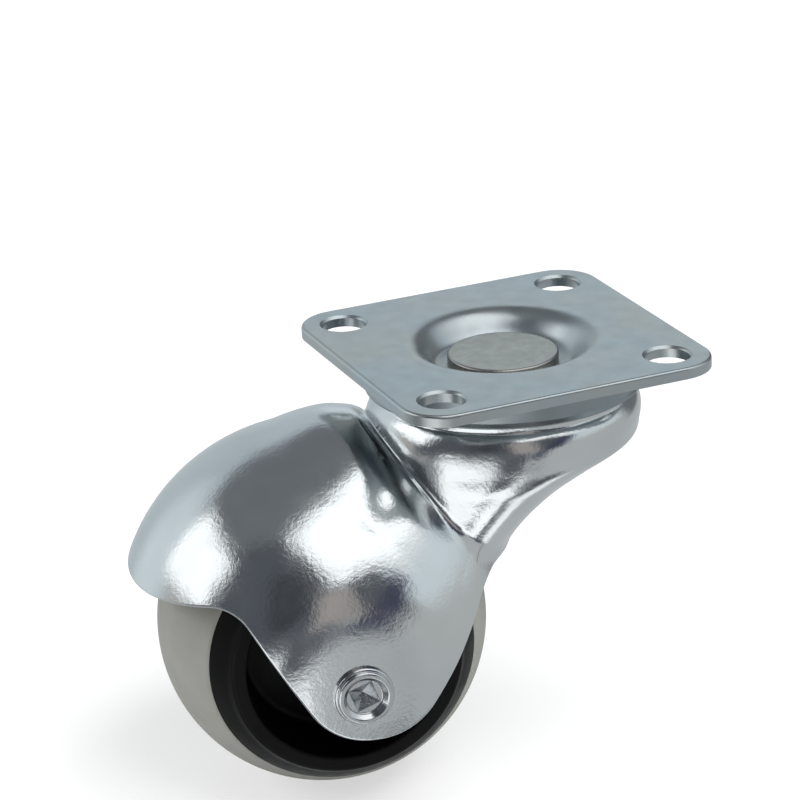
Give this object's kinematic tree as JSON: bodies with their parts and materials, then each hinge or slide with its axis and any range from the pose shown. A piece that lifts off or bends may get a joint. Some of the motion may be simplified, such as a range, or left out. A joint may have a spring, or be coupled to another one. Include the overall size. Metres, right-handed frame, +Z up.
{
  "type": "ball castor",
  "caption": "Small hooded ball castor: square top plate with bolt holes, a swivelling drawn steel hood over a ball-shaped wheel with a soft tread on a black plastic core.",
  "frame": {"origin": "middle of the plate's top face, on the swivel axis", "axes": "+Z up out of the plate's top face, along the swivel axis; +X and +Y along the plate's edges"},
  "size_m": [0.0639, 0.0467, 0.051],
  "materials": {
    "plate_steel": "blue-white zinc plate, satin",
    "pin_steel": "zinc plate, satin",
    "ball_steel": "polished",
    "hood_steel": "bright zinc plate, glossy with a fine grain",
    "core_plastic": "moulded, satin",
    "tread_rubber": "matte"
  },
  "bodies": {
    "plate": {"mounting_plate": "plate_steel", "kingpin": "pin_steel", "upper_race": "plate_steel", "lower_race": "plate_steel"},
    "hood": {"hood": "hood_steel", "axle_rivet": "pin_steel", "axle_sleeve": "pin_steel"},
    "wheel": {"wheel_core": "core_plastic", "wheel_tread": "tread_rubber"},
    "upper_ball_ring": {"upper_balls": "ball_steel"},
    "lower_ball_ring": {"lower_balls": "ball_steel"}
  },
  "joints": [
    {"name": "swivel", "type": "hinge", "parent": "plate", "child": "hood", "pos_m": [0, 0, 0], "axis": [0, 0, 1], "continuous": true},
    {"name": "wheel_spin", "type": "hinge", "parent": "hood", "child": "wheel", "pos_m": [-0.02265, 0.00399, -0.0317], "axis": [-0.1736, -0.9848, 0], "continuous": true},
    {"name": "upper_ball_orbit", "type": "hinge", "parent": "plate", "child": "upper_ball_ring", "pos_m": [0, 0, 0], "axis": [0, 0, 1], "continuous": true},
    {"name": "lower_ball_orbit", "type": "hinge", "parent": "plate", "child": "lower_ball_ring", "pos_m": [0, 0, 0], "axis": [0, 0, 1], "continuous": true}
  ],
  "couplings": [
    {"joint": "upper_ball_orbit", "follows": "swivel", "ratio": 0.5},
    {"joint": "lower_ball_orbit", "follows": "swivel", "ratio": 0.5}
  ]
}
